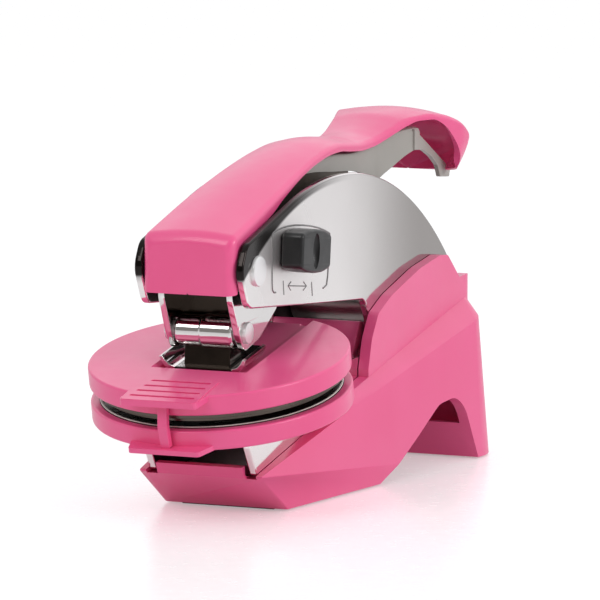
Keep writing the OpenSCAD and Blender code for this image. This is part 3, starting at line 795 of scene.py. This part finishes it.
def build_cover():
    nose_steps, tail_steps = 8, 10
    rings = cover_cap(NOSE_Y, NOSE_R)
    for k in range(nose_steps + 1):
        turn = math.pi / 2 * (1 - k / nose_steps)
        rings.append(cover_ring(NOSE_Y + NOSE_R * (1 - math.sin(turn)), NOSE_R * (1 - math.cos(turn))))
    y = NOSE_Y + NOSE_R
    while y < TAIL_Y - TAIL_R - 0.6:
        # finer where the rim rises steeply behind the nose
        y += 0.35 if y < -50.5 else 1.0
        rings.append(cover_ring(y, 0))
    for k in range(tail_steps + 1):
        turn = math.pi / 2 * k / tail_steps
        rings.append(cover_ring(TAIL_Y - TAIL_R * (1 - math.sin(turn)), TAIL_R * (1 - math.cos(turn))))
    rings += reversed(cover_cap(TAIL_Y, TAIL_R))
    count = len(rings[0])
    points = [tail_curl(Vector(p)) for ring in rings for p in ring]
    faces = [
        (i * count + j, i * count + j + 1, (i + 1) * count + j + 1, (i + 1) * count + j)
        for i in range(len(rings) - 1)
        for j in range(count - 1)
    ]
    cover = mesh_from("handle_cover_body", points, faces)
    wall = cover.modifiers.new("wall", "SOLIDIFY")
    wall.thickness = COVER_WALL * MM
    wall.offset = -1
    wall.use_even_offset = True
    wall.thickness_clamp = 0.8
    finish_piece(round_edges(cover, 0.5, 50), PINK, "handle", "handle_cover", 50)


def build_spring():
    coil_r, wire, turns, pitch, steps = 3.6, 0.45, 4.5, 1.2, 20
    low = -turns * pitch / 2
    path = [(low, -23, 49.05), (low, -34, 49.3), (low, -43, 49.9)]
    for k in range(int(steps * turns) + 1):
        turn = math.radians(-90 - k * 360 / steps)
        across = low + turns * pitch * k / (steps * turns)
        path.append((across, FULCRUM[0] + coil_r * math.cos(turn), FULCRUM[1] + coil_r * math.sin(turn)))
    path += [(-low, -44.4, 57.6), (-low, -41.4, 58.9), (-low, -38.4, 59.8), (-low, -33.5, 61.0)]
    spring = new_object("return_spring_body", drawn_mesh("spring_line", [path], wire, 3))
    paint(shade(spring, weighted=False), STEEL)
    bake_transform(spring)
    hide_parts("return_spring")


# ---------------------------------------------------------------- ram

YOKE_OUTLINE = [(-47.8, 39.6, 2), (-51.4, 47.5, 3), (-51.6, 53, 3), (-50, 58.4, 3), (-40, 60.1, 6),
                (-31.2, 59.8, 3), (-27.6, 50, 4), (-27.6, 43.3, 1.5), (-37.2, 37.5, 3), (-45, 35.6, 2)]
YOKE_WEB = [(-42.4, 43.3, 0.3), (-42.9, 49.2, 0.3), (-41.7, 49.3, 0.3), (-40.4, 42.0, 0.3),
            (-41.2, 41.9, 0.3)]
KNUCKLE = [(2.06, 6.8, 0), (3.3, 6.8, 0.3), (3.75, 6.2, 0.3), (3.75, -0.6, 0.3), (3.45, -1.0, 0.2),
           (3.45, -6.3, 0.3), (3.1, -6.8, 0.3), (2.06, -6.8, 0)]


def build_yoke():
    turn = Matrix.Rotation(TILT, 2)
    slot = rounded([(-2.6, -2.7, 2.5), (2.6, -2.7, 2.5), (2.6, 4.7, 2.5), (-2.6, 4.7, 2.5)])
    slot = [tuple(turn @ Vector(p) + Vector(FULCRUM)) for p in slot]
    holes = [slot, circle(DRIVE, 2.1), circle(RAM_AXIS, 2.02)]
    outline = rounded(YOKE_OUTLINE)
    parts = []
    for side in (-1, 1):
        cheek = plate(f"yoke_cheek_{side}", outline, *span(side, YOKE_IN, YOKE_OUT), holes, 0.25)
        parts.append(paint(cheek, CHROME))
    # the web between the cheeks is painted near-black: painted shade in the gap between them
    parts.append(paint(plate("yoke_web", rounded(YOKE_WEB), -7.5, 7.5), PAINTED_DARK_METAL))
    place(shade(join("ram_yoke_body", parts)), "ram", "ram_yoke")
    pin = headed_pin("ram_pin_body", RAM_AXIS, 2, 2.35, YOKE_OUT, 0.9)
    finish_piece(pin, PIN_STEEL, "ram", "ram_pin")


def build_foot():
    top, bottom = -0.3, -1.5
    # x-n section of the sole's right half, with its wing turned up
    half = [(0, bottom), (5.5, bottom), (7.4, bottom + 0.15), (8.9, bottom + 0.9), (9.8, bottom + 2.0),
            (10.2, bottom + 3.3), (9.5, bottom + 3.5), (8.9, bottom + 2.5), (8.0, bottom + 1.6), (6.8, top),
            (0, top)]
    section = half + [(-x, n) for x, n in reversed(half[1:-1])]
    # plate() draws in (y, z) along x, so its axes are passed round to draw in (x, n) along v
    swap = Matrix(((1, 0, 0, 0), (0, 0, 1, 0), (0, 1, 0, 0), (0, 0, 0, 1)))
    back = Matrix(((0, 1, 0, 0), (0, 0, 1, 0), (1, 0, 0, 0), (0, 0, 0, 1)))
    wings = plate("foot_wings", section, -8.6, 2.6, bevel=0.15, matrix=clip_matrix() @ swap @ back)
    sole = plate("foot_sole", [(-9, bottom), (8, bottom), (8, top), (-9, top)], -6.6, 6.6, bevel=0.15,
                 matrix=clip_matrix())
    neck = rounded([(-6.6, top - 0.2, 0.1), (-5.2, 4.5, 0.5), (-2.4, 4.5, 0.5), (0.6, top - 0.2, 0.1)])
    neck = plate("foot_neck", neck, -5.4, 5.4, bevel=0.3, matrix=clip_matrix())
    knuckle = ring_of_profile("foot_knuckle", rounded(KNUCKLE, 20), bar_matrix(RAM_AXIS), 64)
    # sole and neck are painted near-black: a painted dark reflection
    pieces = ((wings, CHROME), (sole, PAINTED_DARK_METAL), (neck, PAINTED_DARK_METAL), (knuckle, CHROME))
    foot = join("ram_foot_body", [paint(piece, mat) for piece, mat in pieces])
    place(shade(foot), "foot", "ram_foot")


# ---------------------------------------------------------------- lock


def build_lock():
    outline = rounded([(-7.9, -4.6, 1.2), (-4, -5.5, 8), (0, -5.7, 0), (4, -5.5, 8), (7.9, -4.5, 1.2),
                       (7.9, 2.7, 1.2), (4, 3.7, 8), (0, 3.9, 0), (-4, 3.7, 8), (-7.9, 2.8, 1.2)])
    knob = plate("lock_knob_body", outline, PLATE_OUT + 0.1, PLATE_OUT + 5.4, bevel=0.8, rings=4,
                 matrix=lock_matrix())
    # thumb hollow, cut by an egg-shaped body that sinks into the knob's face
    wide, tall = 1.8, 3.9
    turns = [math.radians(a) for a in range(-80, 81, 8)]
    profile = [(0, -tall)] + [(wide * math.cos(t), tall * math.sin(t)) for t in turns] + [(0, tall)]
    at = Matrix.Translation(((PLATE_OUT + 5.6) * MM, -0.5 * MM, -0.9 * MM))
    combine(knob, turned("scoop", profile, lock_matrix() @ at, 48), "DIFFERENCE")
    finish_piece(knob, BLACK, "lock", "lock_knob", 40)
    finish_piece(refined("lock_slider", 0.15), STEEL, "lock", "lock_slider")


# ---------------------------------------------------------------- die clip

HINGE_SEAT = [(-7, 20), (7, 20), (7, 28.6), (-7, 28.6)]


def holder_profile(r, low, high, edge=0.55):
    """Outer half of a holder's section, from the axis below to the axis above."""
    turns = [math.pi / 2 * k / 4 for k in range(5)]
    outline = [(0, low)]
    outline += [(r - edge * (1 - math.sin(t)), low + edge * (1 - math.cos(t))) for t in turns]
    outline += [(r - edge * (1 - math.cos(t)), high - edge * (1 - math.sin(t))) for t in turns]
    return outline + [(0, high)]


def clip_prism(name, outline, n0, n1):
    """Solid with an x-v outline, from n0 to n1 in the clip's frame."""
    return prism(name, outline, n0, n1, clip_matrix())


def finger_tab(w0, w1, v0, n0, n1):
    """Tab in front of a holder, w0 half wide at its front v0 and w1 where it grows out of the rim."""
    outline = [(-w0, v0, 1), (w0, v0, 1), (w1, -26, 0), (w1, -22, 0), (-w1, -22, 0), (-w1, -26, 0)]
    return clip_prism("tab", rounded(outline), n0, n1)


def channel_cutter():
    """Body of the foot's channel: straight low walls that flare out above, open to the rear."""
    low = [(-10.6, -10.2), (10.6, -10.2), (10.6, 40), (-10.6, 40)]
    wide = [(-11.5, -11.1), (11.5, -11.1), (11.5, 40), (-11.5, 40)]
    points = [(x, v, n) for outline, n in ((low, -1.9), (low, -0.9), (wide, 0.3)) for x, v in outline]
    faces = [(3, 2, 1, 0), (8, 9, 10, 11)]
    for level in (0, 4):
        faces += [(level + i, level + (i + 1) % 4, level + 4 + (i + 1) % 4, level + 4 + i) for i in range(4)]
    return mesh_from("channel", points, faces, clip_matrix())


def build_upper_holder():
    disc = turned("upper_die_holder_body", holder_profile(CLIP_R, -RIM_H, 0), clip_matrix(), 192)
    combine(disc, finger_tab(8.9, 9.4, -32.6, -1.3, 0.0), "UNION")
    pad = rounded([(-8.9, -32.5, 1), (8.9, -32.5, 1), (8.1, -17.4, 1), (-8.1, -17.4, 1)])
    combine(disc, clip_prism("pad", pad, -1.2, 0.22), "UNION")
    combine(disc, clip_prism("hinge_seat", HINGE_SEAT, -RIM_H, -1.95), "UNION")
    combine(disc, channel_cutter(), "DIFFERENCE")
    seat_r = DIE_R + 0.1
    pocket = [(0, -9), (27.4, -9), (27.4, -4.25), (seat_r, -4.25), (seat_r, -2.9), (0, -2.9)]
    combine(disc, turned("pocket", pocket, clip_matrix(), 128), "DIFFERENCE")
    round_edges(disc, 0.3, 32)
    for k, (v, half) in enumerate(((-29.8, 7.6), (-26.5, 7.4), (-23.2, 7.2), (-19.9, 7.0))):
        front, rear = v - 0.45, v + 0.45
        groove = rounded([(-half, front, 0.4), (half, front, 0.4), (half, rear, 0.4), (-half, rear, 0.4)], 30)
        combine(disc, clip_prism(f"groove_{k}", groove, -0.3, 0.5), "DIFFERENCE")
    finish_piece(disc, PINK, "upper_carrier", "upper_die_holder")


def build_dies():
    upper = [(0, -6.6), (25.7, -6.6), (25.9, -6.4), (25.9, -5.5), (27.2, -5.5), (27.3, -5.4), (27.3, -4.3),
             (DIE_R, -4.3), (DIE_R, -2.9), (0, -2.9)]
    die = turned("upper_die_body", upper, clip_matrix(), 160)
    place(paint(shade(die), DIE, DIE_LIP_HIGHLIGHT), "upper_carrier", "upper_die")
    lower = [(0, -10.6), (26.5, -10.6), (26.5, -7.65), (26.42, -7.56), (26.1, -7.56), (26.02, -7.65),
             (26.02, -8.8), (0, -8.8)]
    die = turned("lower_die_body", lower, clip_matrix(), 160)
    paint(shade(die), DIE, DIE_LIP_HIGHLIGHT)
    # the lip that stands up round the lower die's face is painted near-white: a painted highlight for the
    # light its edge catches
    inverse = clip_matrix().inverted()
    for face in die.data.polygons:
        if (inverse @ face.center).z / MM > -8.75:
            face.material_index = 1
    place(die, "die_clip", "lower_die")


def build_lower_holder():
    disc = turned("lower_die_holder_body", holder_profile(CLIP_R, -CLIP_H, LOWER_TOP), clip_matrix(), 192)
    combine(disc, finger_tab(8.2, 9.8, -31.6, -CLIP_H, -CLIP_H + 1.1), "UNION")
    combine(disc, clip_prism("hinge_seat", HINGE_SEAT, -CLIP_H, LOWER_TOP - 0.05), "UNION")
    keel = rounded([(-10.2, -20, 1.5), (10.2, -20, 1.5), (10.2, -5, 1.5), (-10.2, -5, 1.5)])
    combine(disc, clip_prism("keel", keel, -CLIP_H - 1, -CLIP_H + 0.2), "UNION")
    pocket = [(0, LOWER_TOP - 2.7), (26.6, LOWER_TOP - 2.7), (26.6, 4), (0, 4)]
    combine(disc, turned("pocket", pocket, clip_matrix(), 128), "DIFFERENCE")
    finish_piece(round_edges(disc, 0.3, 32), PINK, "die_clip", "lower_die_holder")


FRONT_STRAP = [(-30.2, -1.3, 0.1), (-28.8, -1.3, 0.1), (-29.6, -6.2, 2), (-28.8, -11.2, 0.1),
               (-30.4, -11.2, 0.1), (-31.2, -6.4, 2)]
REAR_STRAP = [(28.6, -2.6, 0.1), (31.4, -3.6, 1.2), (32.4, -6.2, 1.5), (31.4, -9, 1.2), (28.6, -10.2, 0.1),
              (28.6, -9.2, 0.1), (30.6, -8.4, 0.8), (31.3, -6.2, 1), (30.6, -4.3, 0.8), (28.6, -3.6, 0.1)]


def build_straps():
    """Straps between the clip's halves: outline, half width, and the place and heights of the stretch."""
    for node, outline, half, v, low, high in (
        ("front_strap", FRONT_STRAP, 1.1, -29.5, -10.4, -2),
        ("rear_hinge_strap", REAR_STRAP, 7, 29, -9.2, -3.6),
    ):
        strap = plate(node + "_body", rounded(outline), -half, half, matrix=clip_matrix())
        paint(shade(strap), PINK)
        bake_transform(strap)
        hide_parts(node)


# ---------------------------------------------------------------- studio


def build_floor():
    size = 4.0
    mesh = bpy.data.meshes.new("floor")
    corners = [(-size, -size, 0), (size, -size, 0), (size, size, 0), (-size, size, 0)]
    mesh.from_pydata(corners, [], [(0, 1, 2, 3)])
    floor = new_object("floor", mesh)
    gloss = material("floor_gloss", (226, 226, 227), (228, 228, 229), (0.24, 0.28), 120, 0.0003)
    tree = gloss.node_tree
    shader = tree.nodes["Principled BSDF"]
    shader.inputs["Emission Color"].default_value = (1, 1, 1, 1)
    # a white sheet in the photo: brighter to the camera than to what stands on it
    seen = tree.nodes.new("ShaderNodeLightPath").outputs["Is Camera Ray"]
    tree.links.new(map_range(tree, seen, 0, 1, 0.1, 0.34, smooth=False), shader.inputs["Emission Strength"])
    paint(floor, gloss)


def look_at(obj, at, target):
    obj.location = at
    obj.rotation_mode = "QUATERNION"
    obj.rotation_quaternion = (Vector(target) - obj.location).to_track_quat("-Z", "Y")
    bpy.context.scene.collection.objects.link(obj)


def area_light(name, at, target, size, power):
    data = bpy.data.lights.new(name, "AREA")
    data.shape = "RECTANGLE"
    data.size, data.size_y = size
    data.energy = power
    look_at(bpy.data.objects.new(name, data), at, target)


def build_studio():
    area_light("key_softbox", (-0.2, -0.75, 0.62), (0, 0, 0.04), (0.45, 0.45), 2.5)
    area_light("side_softbox", (0.8, -0.15, 0.4), (0, 0, 0.05), (0.4, 0.3), 2.3)
    world = bpy.data.worlds.new("studio")
    bpy.context.scene.world = world
    world.use_nodes = True
    tree = world.node_tree
    up, behind = along(tree, "Z", "Generated"), along(tree, "Y", "Generated")
    # walls light grey, brighter overhead and behind, and dark towards the camera's side of the room
    walls = mix_colour(tree, map_range(tree, up, 0.1, 0.9), (0.68, 0.68, 0.69, 1), (0.76, 0.76, 0.77, 1))
    rear = mix_colour(tree, map_range(tree, behind, 0.25, 0.75), walls, (1.15, 1.15, 1.16, 1))
    upper = mix_colour(tree, map_range(tree, up, 0.12, 0.3), walls, rear)
    room = mix_colour(tree, map_range(tree, behind, -0.8, -0.35), (0.24, 0.23, 0.22, 1), upper)
    # the camera itself sees plain white
    seen = tree.nodes.new("ShaderNodeLightPath").outputs["Is Camera Ray"]
    tree.links.new(mix_colour(tree, seen, room, (1, 1, 1, 1)), tree.nodes["Background"].inputs["Color"])


def build_camera():
    data = bpy.data.cameras.new("camera")
    data.lens = 360
    data.sensor_width = 36
    data.clip_start, data.clip_end = 0.05, 20
    camera = bpy.data.objects.new("camera", data)
    look_at(camera, (0.5308, -1.2101, 0.2087), (0, 0.0048, 0.0407))
    bpy.context.scene.camera = camera


build_base_parts()
build_plates()
build_frame_pins()
build_screws()
build_lever()
build_liner()
build_cover()
build_spring()
build_yoke()
build_foot()
build_lock()
build_upper_holder()
build_dies()
build_lower_holder()
build_straps()
build_floor()
build_studio()
build_camera()
bpy.context.scene.view_settings.view_transform = "Standard"
